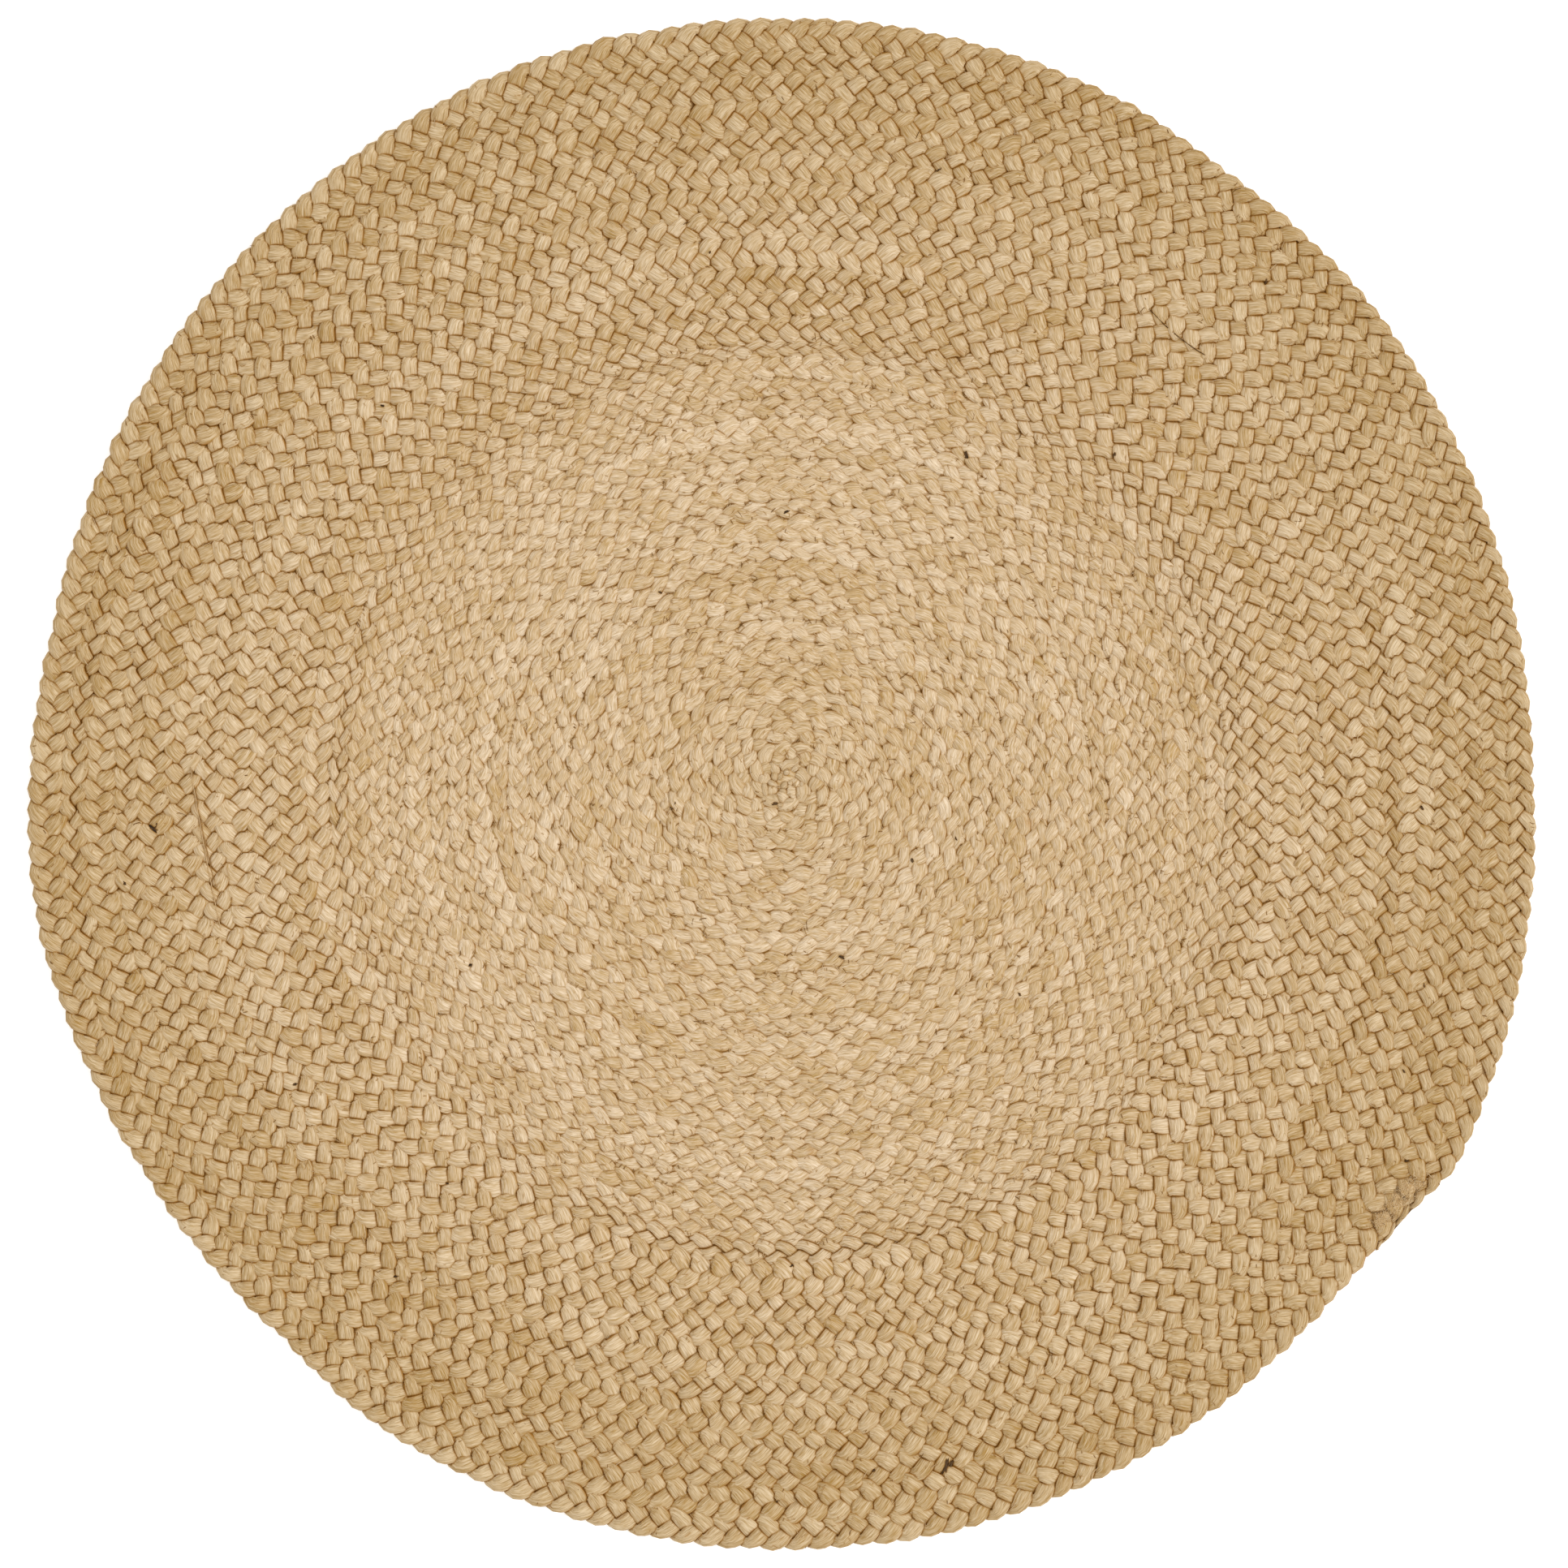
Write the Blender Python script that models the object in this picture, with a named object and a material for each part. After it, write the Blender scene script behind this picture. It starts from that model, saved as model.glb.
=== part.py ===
"""Round rug: one flat three-strand jute braid, coiled on itself and sewn turn to turn.

Metres, +Z up. The rug lies on z = 0, and the middle of its bounding box is at x = y = 0.
Seen from above, the coil runs clockwise from its start at the centre to its tail at the lower right.
A bearing is in degrees, clockwise from +X, and "turns" counts full turns from the coil's start.
"""

import math

import bpy
import numpy as np

INNER_TURNS = 23  # narrower, flatter rows
OUTER_TURNS = 11  # wider, plumper rows
TURNS = INNER_TURNS + OUTER_TURNS
STEPS_PER_TURN = 54
STEPS = TURNS * STEPS_PER_TURN

START_RADIUS = 0.0050  # the folded start of the braid at the centre
INNER_ROW_WIDTH = 0.0161
OUTER_ROW_WIDTH = 0.0218
LAST_ROW_WIDTH = 0.0187  # where the tail ends

TAIL_BEARING = 38.5
TAIL_TAPER = 8.5  # degrees over which the tail narrows to nothing

INNER_CROWN = 0.0082  # heights above the floor
OUTER_CROWN = 0.0095
INNER_GROOVE = 0.0056
OUTER_GROOVE = 0.0064
CENTRE_HEIGHT = 0.0076
TAIL_CROWN = 0.0070
RIM_HEIGHT = 0.0040
SHOULDERS = (0.27, 0.73)  # shares of a row's width at which its top begins and ends

RIM_BULGE = 0.0015  # how far the rim stands out past its upper edge
UNDERSIDE_INSET = 0.0015  # how far the underside's edge lies inside that upper edge
LAST_JOINT_PULL = 0.0030  # the last row is this much wider from the bottom round to the left
JOINT_WANDER = ((0.0009, 1.37, 0.4), (0.0007, 2.61, 2.1))  # (metres, waves a turn, phase)

# (bearing, radius in metres) of the rim, from one side of the tail round to the other
OUTLINE = (
    (38.5, 0.593),
    (54.0, 0.601),
    (75.0, 0.608),
    (101.0, 0.608),
    (123.0, 0.603),
    (132.0, 0.593),
    (150.0, 0.594),
    (170.0, 0.602),
    (192.0, 0.591),
    (216.0, 0.596),
    (249.0, 0.603),
    (270.0, 0.602),
    (297.0, 0.600),
    (306.0, 0.593),
    (318.0, 0.597),
    (351.0, 0.591),
    (360.0, 0.591),
    (375.0, 0.601),
    (390.0, 0.612),
    (398.5, 0.612),
)

COLOUR = (0.54, 0.38, 0.20, 1.0)
ROUGHNESS = 0.85


def even_radius(turns):
    """Radius of the row's outer edge in an even, round coil."""
    inner = INNER_ROW_WIDTH * np.minimum(turns, INNER_TURNS)
    outer = OUTER_ROW_WIDTH * np.clip(turns - INNER_TURNS, 0, OUTER_TURNS - 1)
    last = LAST_ROW_WIDTH * np.clip(turns - (TURNS - 1), 0, 1)
    return START_RADIUS + inner + outer + last


def out_of_round(turns):
    """How far the rim stands off an even coil at the bearing of these turns."""
    share = turns % 1.0
    bearings, radii = np.transpose(OUTLINE)
    upper_edge = np.interp(TAIL_BEARING + 360 * share, bearings, radii) - RIM_BULGE
    return upper_edge - even_radius(TURNS - 1 + share)


def joint_shift(turns):
    """How far the seam between rows wanders, on every turn but the last."""
    waves = sum(size * np.sin(math.tau * rate * turns + phase) for size, rate, phase in JOINT_WANDER)
    calm = np.clip(TURNS - 1 - turns, 0, 1) * np.clip(turns, 0, 1)
    before_last = np.clip(turns - (TURNS - 2), 0, 1)
    pull = LAST_JOINT_PULL * np.sin(math.pi * before_last) ** 2
    return waves * calm - pull * (turns < TURNS - 1)


def edge_radius(turns):
    """Radius of the row's outer edge, before the tail narrows."""
    grown = (turns / TURNS) ** 2
    return even_radius(turns) + out_of_round(turns) * grown + joint_shift(turns)


def tail_share(turns):
    """Share of its width that the row still has as the tail narrows."""
    return np.clip((TURNS - turns) * 360 / TAIL_TAPER, 0, 1)


def place(radius, turns, height):
    """Points at these radii, turns and heights."""
    angle = -np.radians(TAIL_BEARING) - math.tau * turns
    height = np.broadcast_to(height, radius.shape)
    return np.stack([radius * np.cos(angle), radius * np.sin(angle), height], 1)


def row_rings():
    """Points of the two shoulders and of the outer edge, one for each step along the coil."""
    turns = np.arange(STEPS) / STEPS_PER_TURN
    outer = edge_radius(turns)
    inner = np.where(turns < 1, 0, edge_radius(np.maximum(turns - 1, 0)))
    outer = inner + (outer - inner) * tail_share(turns)
    wide = np.clip(turns - INNER_TURNS + 1, 0, 1)
    crown = INNER_CROWN + (OUTER_CROWN - INNER_CROWN) * wide
    crown = TAIL_CROWN + (crown - TAIL_CROWN) * (tail_share(turns) >= 1)
    groove = INNER_GROOVE + (OUTER_GROOVE - INNER_GROOVE) * wide
    first, second = (inner + (outer - inner) * share for share in SHOULDERS)
    return place(first, turns, crown), place(second, turns, crown), place(outer, turns, groove)


def rim_rings(upper_edge):
    """Points of the rim's widest line and of the underside's edge, one for each point of the upper edge."""
    radius = np.hypot(upper_edge[:, 0], upper_edge[:, 1])[:, None]
    outward = upper_edge / radius
    bulge = upper_edge + RIM_BULGE * outward
    bulge[:, 2] = RIM_HEIGHT
    under = upper_edge - UNDERSIDE_INSET * outward
    under[:, 2] = 0
    return bulge, under


def band(near, far):
    """Faces between two lines of vertex indices that run along the coil, without repeated corners."""
    faces = []
    for i in range(len(near) - 1):
        corners = list(dict.fromkeys((near[i], near[i + 1], far[i + 1], far[i])))
        if len(corners) > 2:
            faces.append(corners)
    return faces


def rug_mesh():
    """Points and faces of the whole rug, as one closed body."""
    first, second, edge = row_rings()
    bulge, under = rim_rings(edge[-STEPS_PER_TURN:])
    centre = np.array([[0, 0, CENTRE_HEIGHT]])
    points = np.concatenate([centre, first, second, edge, bulge, under])

    first_at = 1 + np.arange(STEPS)
    second_at = first_at + STEPS
    edge_at = second_at + STEPS
    bulge_at = edge_at[-1] + 1 + np.arange(STEPS_PER_TURN)
    under_at = bulge_at + STEPS_PER_TURN
    tail = edge_at[-STEPS_PER_TURN]  # where the tail has narrowed to nothing

    inner_line = np.concatenate([np.zeros(STEPS_PER_TURN, int), edge_at[: -STEPS_PER_TURN + 1]])
    first_line = np.append(first_at, tail)
    first_line[0] = 0
    second_line = np.append(second_at, tail)
    second_line[0] = edge_at[0]
    edge_line = np.append(edge_at, tail)
    rim_line = edge_line[-STEPS_PER_TURN - 1 :]

    faces = band(inner_line, first_line) + band(first_line, second_line)
    faces += band(second_line, edge_line)
    faces += band(rim_line, np.append(bulge_at, bulge_at[0]))
    faces += band(np.append(bulge_at, bulge_at[0]), np.append(under_at, under_at[0]))
    faces.append(list(under_at))
    return points, faces


def drop_unused(points, faces):
    """The same mesh without points that no face uses."""
    used = sorted({i for face in faces for i in face})
    new_index = {old: new for new, old in enumerate(used)}
    return points[used], [[new_index[i] for i in face] for face in faces]


def centred(points):
    """The points with the middle of their bounding box at x = y = 0."""
    middle = (points.min(0) + points.max(0)) / 2
    return points - [middle[0], middle[1], 0]


def jute_material():
    material = bpy.data.materials.new("jute_braid")
    material.use_nodes = True
    shader = material.node_tree.nodes["Principled BSDF"]
    shader.inputs["Base Color"].default_value = COLOUR
    shader.inputs["Roughness"].default_value = ROUGHNESS
    material.diffuse_color = COLOUR
    return material


def build():
    for obj in list(bpy.data.objects):
        bpy.data.objects.remove(obj, do_unlink=True)
    points, faces = drop_unused(*rug_mesh())
    mesh = bpy.data.meshes.new("braided_coil")
    mesh.from_pydata(centred(points).tolist(), [], faces)
    mesh.materials.append(jute_material())
    rug = bpy.data.objects.new("braided_coil", mesh)
    bpy.context.scene.collection.objects.link(rug)


build()
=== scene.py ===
"""Looks of the round braided jute rug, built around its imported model.

One three-strand braid runs from the tail on the rim to the centre. Each strand is a closed tube whose
section follows the braid: wide and high where it lies over, narrow where it turns back at the braid's
edge. Lengths are in metres. A bearing is in degrees, clockwise from +X as seen from above, and "turns"
counts full turns of the coil from its start at the centre.
"""

import math

import bpy
import numpy as np
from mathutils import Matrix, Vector

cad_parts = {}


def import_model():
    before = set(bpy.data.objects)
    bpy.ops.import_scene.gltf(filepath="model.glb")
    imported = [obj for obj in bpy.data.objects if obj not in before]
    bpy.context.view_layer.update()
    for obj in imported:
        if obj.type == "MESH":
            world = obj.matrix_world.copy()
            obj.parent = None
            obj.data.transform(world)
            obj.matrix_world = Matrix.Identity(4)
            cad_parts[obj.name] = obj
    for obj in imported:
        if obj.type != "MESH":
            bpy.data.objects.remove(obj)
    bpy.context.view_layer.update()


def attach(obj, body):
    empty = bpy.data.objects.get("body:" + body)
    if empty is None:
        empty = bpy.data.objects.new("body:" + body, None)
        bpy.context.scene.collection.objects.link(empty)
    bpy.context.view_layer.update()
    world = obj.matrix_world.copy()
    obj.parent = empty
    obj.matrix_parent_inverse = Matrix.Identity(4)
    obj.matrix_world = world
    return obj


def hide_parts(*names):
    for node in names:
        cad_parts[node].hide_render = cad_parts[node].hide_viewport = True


# The coil, as in the solid.
INNER_TURNS = 23  # narrower, flatter rows
OUTER_TURNS = 11  # wider, plumper rows
TURNS = INNER_TURNS + OUTER_TURNS
START_RADIUS = 0.0050  # the folded start of the braid at the centre
INNER_ROW_WIDTH = 0.0161
OUTER_ROW_WIDTH = 0.0218
LAST_ROW_WIDTH = 0.0187  # where the tail ends
TAIL_BEARING = 38.5
TAIL_TAPER = 8.5  # degrees over which the tail narrows
TAIL_WIDTH = 0.36  # of the row's width, where the tail is cut off
INNER_CROWN = 0.0082  # heights above the floor
OUTER_CROWN = 0.0095
TAIL_CROWN = 0.0070
LAST_JOINT_PULL = 0.0030  # the last row is this much wider from the bottom round to the left
JOINT_WANDER = ((0.0009, 1.37, 0.4), (0.0007, 2.61, 2.1))  # (metres, waves a turn, phase)
OUTLINE = (  # (bearing, radius of the rim)
    (38.5, 0.593),
    (54.0, 0.601),
    (75.0, 0.608),
    (101.0, 0.608),
    (123.0, 0.603),
    (132.0, 0.593),
    (150.0, 0.594),
    (170.0, 0.602),
    (192.0, 0.591),
    (216.0, 0.596),
    (249.0, 0.603),
    (270.0, 0.602),
    (297.0, 0.600),
    (306.0, 0.593),
    (318.0, 0.597),
    (351.0, 0.591),
    (360.0, 0.591),
    (375.0, 0.601),
    (390.0, 0.612),
    (398.5, 0.612),
)
COIL_CENTRE = (0.0019, 0.0022)  # off the middle of the rug's bounding box
SAMPLES_PER_TURN = 360

# The braid. Threes are for its three zones: the rows round the middle, the other inner rows and the outer
# rows. Widths are shares of half the row's width and heights are shares of the braid's thickness.
ZONE_TURNS = (14, 19, 21.5, 23.5)  # one zone fades into the next over the first two and the last two
FIRST_TURN = 0.25  # where the braid ends, in the knot
BRAID_PERIOD = 0.050  # in which a strand swings to one side, to the other and back
STRANDS = 3
LOBES_APART = 5003  # added to a strand's count of lobes for each strand before it
SWING = (0.58, 0.68, 0.84)  # how far the middle of a strand swings to each side
SWING_SHARPNESS = (0.06, 0.0, 0.04)  # how much sharper than a sine wave it turns back
EDGE_HALF_WIDTH = (0.66, 0.61, 0.58)  # of a strand where it turns back at the braid's edge
RIM_EDGE_HALF_WIDTH = 0.44  # and where that edge is the rug's rim
RIM_FADE = 40  # the change to the rim's width takes one turn divided by this
LOBE_HALF_WIDTH = (0.83, 0.80, 0.70)  # of a strand where it crosses the middle
HALF_THICKNESS = 0.32
LIFT = (0.13, 0.15, 0.23)  # how far a strand rises over the others and dips under them
LIFT_LEAD = np.radians((30, 25, 20))  # how early it does so, as an angle of twice the phase
WIDTH_LAG = np.radians((-40, -34, -16))  # how late its width changes, and early below 0
CUT_LENGTH = 0.012  # over which the strands grow to their full size at the tail's cut end
CUT_START = 0.002  # how much of that length is left out
RINGS_PER_LOBE = 8
RING_BIAS = 0.35  # rings lie closer together than on average by up to this share
RING_BIAS_LEAD = math.radians(30)  # they lie closest this phase before the braid's middle
START_CROWDING = 0.7  # lobes follow each other this much faster at the coil's start
START_CROWDING_REACH = 0.22
INNER_STRETCH = 0.08  # and this much slower in the rows round the middle
# (across, up) round a strand's section, as shares of its half-width and half-thickness
SECTION = ((-1, 0), (-0.55, -0.9), (0.55, -0.9), (1, 0), (0.83, 0.75), (0, 1), (-0.83, 0.75))
SECTION_ASPECT = 0.38  # its height over its width, for the way round it
FLOOR_GAP = 0.0003  # nothing comes closer to the floor
PIECES = 6
UV_APART = 100.0  # between the strands' places along the braid, as their streaks read them

# Smooth random changes: (greatest change, values a lobe, start, seed). The zones, the lobes' rate and the
# patches of tone have their values a metre of braid instead.
PHASE_CHANGE = (0.13, 1.0, 0.0, 21)
ACROSS_CHANGE = (0.05, 1.3, 0.0, 22)
HEIGHT_CHANGE = (0.045, 1.1, 0.0, 23)
WIDTH_CHANGE = (0.12, 1.0, 0.5, 24)
ROLL_CHANGE = (math.radians(9), 1.0, 0.25, 25)
LIFT_CHANGE = (0.35, 1.0, 0.1, 27)
SECTION_CHANGES = [(0.06, 2.3, 0.37 * k, 60 + k) for k in range(len(SECTION))]
ZONE_CHANGE = (0.6, 1 / 0.3, 0.0, 26)  # in turns
RATE_CHANGE = (0.07, 1 / 0.35, 0.0, 11)
SMALL_PATCHES = [(0.6, 1 / 0.08, 40.0 * strand, 32) for strand in range(STRANDS)]
LARGE_PATCHES = (0.7, 1 / 0.5, 0.0, 33)
LOBE_TONE_START = 0.68  # a strand's tone changes where this share of a lobe is left
LOBE_TONE_SEED = 31
TABLE_SIZE = 1 << 14  # of random values, which whole numbers are given in steps through the table
TABLE_STEP = 7919
TABLE_START = 13

# The inside of the braid, a dark filler coloured as painted shade, which shows only as dark dots where
# strands meet.
CORE_STEPS_PER_TURN = 54
CORE_HALF_WIDTH = 1.08
RIM_CORE_HALF_WIDTH = 0.80
CORE_SECTION = ((-1, 0.44), (0, 0.34), (1, 0.44), (1, 0.60), (0, 0.46), (-1, 0.60))

# Places are in pixels of the photograph.
PIXEL = 0.0006434  # metres on the floor
PHOTO_MIDDLE = 965

# The knotted start of the braid: a flat plug with short lobes over it. Each is (x, y, heading, length,
# width), with the heading in degrees clockwise from +X.
START_PLUG = (968, 962, 20, 42, 42)
START_LOBES = (
    (991, 954, 55, 28, 15),
    (955, 946, 72, 26, 14),
    (980, 937, -28, 23, 12),
    (943, 973, 82, 24, 11),
    (985, 976, 110, 19, 10),
    (972, 988, 172, 21, 10),
    (956, 984, 45, 21, 10),
    (952, 965, 38, 20, 10),
    (969, 951, 10, 10, 9),
    (974, 965, 60, 11, 9),
    (965, 974, 20, 12, 9),
    (961, 957, 130, 14, 8),
    (980, 947, 150, 16, 9),
    (988, 966, 95, 14, 8),
    (961, 991, 15, 16, 8),
    (961, 940, 35, 18, 11),
    (955, 956, 100, 17, 10),
    (967, 968, 140, 14, 10),
    (951, 978, 60, 18, 10),
)
KNOT_SEED = 83
KNOT_RINGS = 10
KNOT_ENDS = (0.04, 0.96)  # the shares of a lobe's length between which its size changes
KNOT_BLUNTNESS = 0.65  # power of the sine wave that a lobe's size follows, blunter below 1
KNOT_BEND = 0.7  # radians
KNOT_HEIGHTS = (0.0042, 0.0052)
KNOT_HALF_THICKNESS = 0.0030
KNOT_TONES = (-0.5, 1.0)
KNOT_OUTWARDS = 0.4  # how much of the rim's colours the knot shows
KNOT_UV_START = 400  # metres along the strands' streaks, past all of the braid's
PLUG_HEIGHT = 0.0042
PLUG_HALF_THICKNESS = 0.0024
PLUG_TONE = -0.4

OCHRE_SPOTS = (
    (1317, 699), (1175, 485), (1181, 434), (662, 456), (635, 1317), (844, 1191), (924, 1271),
    (745, 1095), (243, 994), (1268, 1012), (955, 1081), (1012, 1377), (1000, 1420), (956, 992),
)
OCHRE_SIZE = 0.0026

# Loose fibres: (count, least and greatest share of the half-row from its middle, how far their direction
# varies round their usual one, least and greatest length, bend, least and greatest shade)
SEAM_FIBRES = (6400, (0.86, 1.10), 0.60, (0.0026, 0.0070), 0.8, (0.25, 1.00))
LOBE_FIBRES = (2600, (0.10, 0.85), 0.30, (0.0070, 0.0130), 0.4, (0.60, 1.00))
STRAY_FIBRES = (1200, (0.00, 1.00), 3.14, (0.0050, 0.0130), 1.6, (0.12, 1.00))
MATTED_FIBRES = (1600, (0.00, 1.10), 3.14, (0.0030, 0.0070), 1.2, (0.35, 1.00))
FIBRE_SEED = 71
FIBRE_RADIUS = (0.00013, 0.00025)
FIBRE_POINTS = 4
FIBRE_SECTION = ((1, -0.5), (0, 1), (-1, -0.5))  # (across, up), as shares of the radius
FIBRE_CLEARANCE = 0.00012
FIBRE_SAG = 0.0004  # how far a fibre sags into a hollow, and its ends into the braid
LOWEST_ON_RUG = 0.002  # a fibre with a point below this lies beside the rug
# Round the line from one pixel to the other: (count, scatter, least and greatest length, shade, radius)
TAIL_LINE = ((1748, 1452), (1696, 1510))
TAIL_FIBRES = (900, 0.0040, (0.0025, 0.0060), (0.60, 1.0), (0.00013, 0.00026))
TAIL_STITCHES = (9, 0.0036, (0.0012, 0.0026), (0.05, 0.25), (0.00020, 0.00034))
TAIL_SPREAD = 0.8  # radians that their direction and their bend vary
TAIL_BEND = 0.9
TAIL_SIZE = 0.026  # of the matted end, where the painted crease shade shows less
# (first x, first y, last x, last y, bend in radians, radius, shade)
THREADS = (
    (234, 942, 273, 1150, 0.06, 0.00034, 0.80),
    (236, 946, 268, 1100, 0.12, 0.00022, 0.55),
    (1414, 379, 1490, 440, 0.35, 0.00024, 0.05),
    (1628, 722, 1684, 712, -1.6, 0.00020, 0.90),
    (1622, 1410, 1640, 1440, 0.5, 0.00022, 0.75),
)
THREAD_STEP = 0.004
# (x, y, length in pixels)
BARK_FLECKS = (
    (188, 1021, 12), (192, 1017, 9), (1191, 560, 9), (969, 630, 8), (955, 990, 9), (829, 994, 9),
    (1037, 1180, 8), (1123, 1060, 6), (1178, 1034, 5), (1166, 1807, 18), (1172, 1804, 10),
    (1077, 1813, 6), (958, 1850, 5), (1752, 996, 6), (1730, 1320, 6), (1755, 1215, 5), (1733, 1431, 5),
    (975, 1560, 6), (551, 1459, 4), (487, 1573, 5), (363, 1336, 5), (579, 1189, 5), (813, 730, 5),
    (875, 311, 4), (471, 500, 5), (1560, 346, 7), (1373, 560, 6), (1157, 209, 5), (1172, 662, 4),
    (154, 1089, 5), (1256, 1225, 4),
)
FLECK_SLIVERS = (0.8, 0.5, 0.3)  # a fleck is three slivers, of these shares of its width
FLECK_LEANS = (0.8, 2.3)  # radians off the direction outwards
FLECK_SPREAD = 0.25
FLECK_LENGTHS = (0.9, 1.4)  # shares of the length in the photograph
FLECK_SCATTER = 0.0006  # of the two thinner slivers
FLECK_BEND = 0.3
FLECK_POINTS = 5
FLECK_CLEARANCE = 0.00002
FLECK_LEAST_RADIUS = 0.00030
FLECK_WIDTH = 0.13  # added to that radius, times the length and the sliver's share
FLECK_SHADES = (0.02, 0.20)

# Values that the jute material reads from the strands' points.
SHOULDER_SHADE = 0.25  # painted flank shade on a strand's shoulders, where its two sides have 1
DIVE_FROM = 0.1  # how far down a strand is when the painted flank shade starts to spread over it
DIVE_SHADE = 0.9  # and the painted shade where it lies deepest
RIM_BARE = 0.7  # the share of the painted flank shade that is missing at the rim
OUTER_TONE_RADII = (0.30, 0.57)  # between which the inner rows' colours fade to the rim's
START_TONE = 0.5  # how much of the rim's colours shows at the coil's start
START_TONE_SIZE = 0.055

# Colours of the jute: (in the inner rows, at the rim)
GOLDEN = ((0.470, 0.280, 0.080, 1), (0.375, 0.208, 0.042, 1))
PALE = ((0.84, 0.672, 0.475, 1), (0.73, 0.565, 0.350, 1))
OCHRE = (0.42, 0.19, 0.035, 1)
SPLIT = (0.36, 0.205, 0.055, 1)
# Painted shade colours: on the flanks where strands meet, in the hollows, and deepest in the hollows
FLANK_SHADE_COLOUR = (0.36, 0.152, 0.012, 1)
HOLLOW_SHADE = (0.48, 0.24, 0.030, 1)
DEPTH_SHADE = (0.23, 0.088, 0.006, 1)
# Streaks: (grains a metre along the strand, grains once round it, detail)
FINE_STREAKS = (180.0, 60.0, 2.0)
BROAD_STREAKS = (90.0, 20.0, 2.0)
SPLIT_STREAKS = (100.0, 30.0, 1.0)
NOISE_RANGE = (0.3, 0.7)  # nearly all values of a noise texture lie in it
# Shares of the pale colour, from all golden at 0
USUAL_PALE = 0.5
LOBE_PALE = 0.13
PATCH_PALE = 0.12
BROAD_PALE = (-0.20, 0.20)
FINE_PALE = (-0.30, 0.30)
# Shares of the ochre stain, the dark splits and the painted shade. A ramp is (from, to, share at the first,
# share at the second).
OCHRE_SHARE = 0.75
SPLIT_RAMP = (0.62, 0.74, 0.0, 0.35)
FLANK_SHADE_RAMP = (0.25, 0.7, 0.0, 0.95)
HOLLOW_SHADE_RAMP = (0.66, 0.98, 1.0, 0.0)  # painted shade in the hollows, over how open a spot is
DEPTH_SHADE_RAMP = (0.54, 0.92, 1.0, 0.0)
OPEN_DISTANCE = 0.0019
OPEN_SAMPLES = 8
CREASE_SHADE_STRENGTH = (0.80, 1.0)  # strength of the painted shade, in the inner rows and at the rim
MATTED_SHADE_STRENGTH = (1.0, 0.25)  # strength of the painted shade away from the tail's matted end and in it
JUTE_ROUGHNESS = (0.66, 0.46)
JUTE_SPECULAR = 0.32
BUMP_STRENGTH = 0.7
BUMP_DISTANCE = 0.0006
SPLIT_RELIEF = -1.5

# Colours of a loose fibre at the shades 0, 0.3, 0.6 and 1
FIBRE_COLOURS = ((0.02, 0.010, 0.004, 1), (0.20, 0.10, 0.03, 1), (0.50, 0.30, 0.11, 1), (0.79, 0.61, 0.37, 1))
FIBRE_SHADES = (0.0, 0.3, 0.6, 1.0)
FIBRE_GRAIN = 1400.0  # grains a metre
FIBRE_GRAIN_SHADE = (-0.06, 0.06)
FIBRE_ROUGHNESS = (0.5, 0.7)
FIBRE_SPECULAR = 0.20

# Painted shade colours of the core: (in the inner rows, at the rim)
CORE_SHADE_DARK = ((0.22, 0.11, 0.025, 1), (0.08, 0.035, 0.008, 1))
CORE_SHADE_LIGHT = ((0.50, 0.31, 0.11, 1), (0.26, 0.13, 0.03, 1))
CORE_GRAIN = 900.0
CORE_ROUGHNESS = 0.9

# The studio
FLOOR_REACH = 30
FLOOR_LEVEL = -0.0005
FLOOR_COLOUR = (0.80, 0.80, 0.80, 1)
FLOOR_ROUGHNESS = 0.9
FLOOR_GLOW = 0.45
WHITE = (1, 1, 1, 1)
WORLD_STRENGTH = 0.92
SUN_STRENGTH = 1.05
SUN_SPREAD = math.radians(30)
SUN_DIRECTION = (-1.0, -0.05, -0.9)
CAMERA_SENSOR = 36.0  # millimetres
CAMERA_DISTANCE = 4.0  # above the top of the rug
CAMERA_REACH = 50
CAMERA_SHIFT = (0.0006, -0.0006)
VIEW_WIDTH = 1.2432
RUG_TOP = 0.009


def even_radius(turns):
    """Radius of the row's outer edge in an even, round coil."""
    inner = INNER_ROW_WIDTH * np.minimum(turns, INNER_TURNS)
    outer = OUTER_ROW_WIDTH * np.clip(turns - INNER_TURNS, 0, OUTER_TURNS - 1)
    last = LAST_ROW_WIDTH * np.clip(turns - (TURNS - 1), 0, 1)
    return START_RADIUS + inner + outer + last


def out_of_round(turns):
    """How far the rim stands off an even coil at the bearing of these turns."""
    share = turns % 1.0
    bearings, radii = np.transpose(OUTLINE)
    return np.interp(TAIL_BEARING + 360 * share, bearings, radii) - even_radius(TURNS - 1 + share)


def joint_shift(turns):
    """How far the seam between rows wanders, on every turn but the last."""
    waves = sum(size * np.sin(math.tau * rate * turns + phase) for size, rate, phase in JOINT_WANDER)
    calm = np.clip(TURNS - 1 - turns, 0, 1) * np.clip(turns, 0, 1)
    before_last = np.clip(turns - (TURNS - 2), 0, 1)
    pull = LAST_JOINT_PULL * np.sin(math.pi * before_last) ** 2
    return waves * calm - pull * (turns < TURNS - 1)


def edge_radius(turns):
    """Radius of the row's outer edge, before the tail narrows."""
    grown = (turns / TURNS) ** 2
    return even_radius(turns) + out_of_round(turns) * grown + joint_shift(turns)


def table_value(index, seed):
    """A fixed random value from -1 to 1 for each whole number."""
    values = np.random.default_rng(seed).uniform(-1, 1, TABLE_SIZE)
    return values[(index.astype(np.int64) * TABLE_STEP + TABLE_START) % TABLE_SIZE]


def value_noise(x, seed):
    """Smooth noise from -1 to 1 with a new value at each whole number of x."""
    cell = np.floor(x)
    t = x - cell
    t = t * t * (3 - 2 * t)
    return table_value(cell, seed) * (1 - t) + table_value(cell + 1, seed) * t


def change(x, noise):
    """A smooth random change at each x, from a row of (greatest change, values in one x, start, seed)."""
    size, rate, start, seed = noise
    return size * value_noise(x * rate + start, seed)


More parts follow.
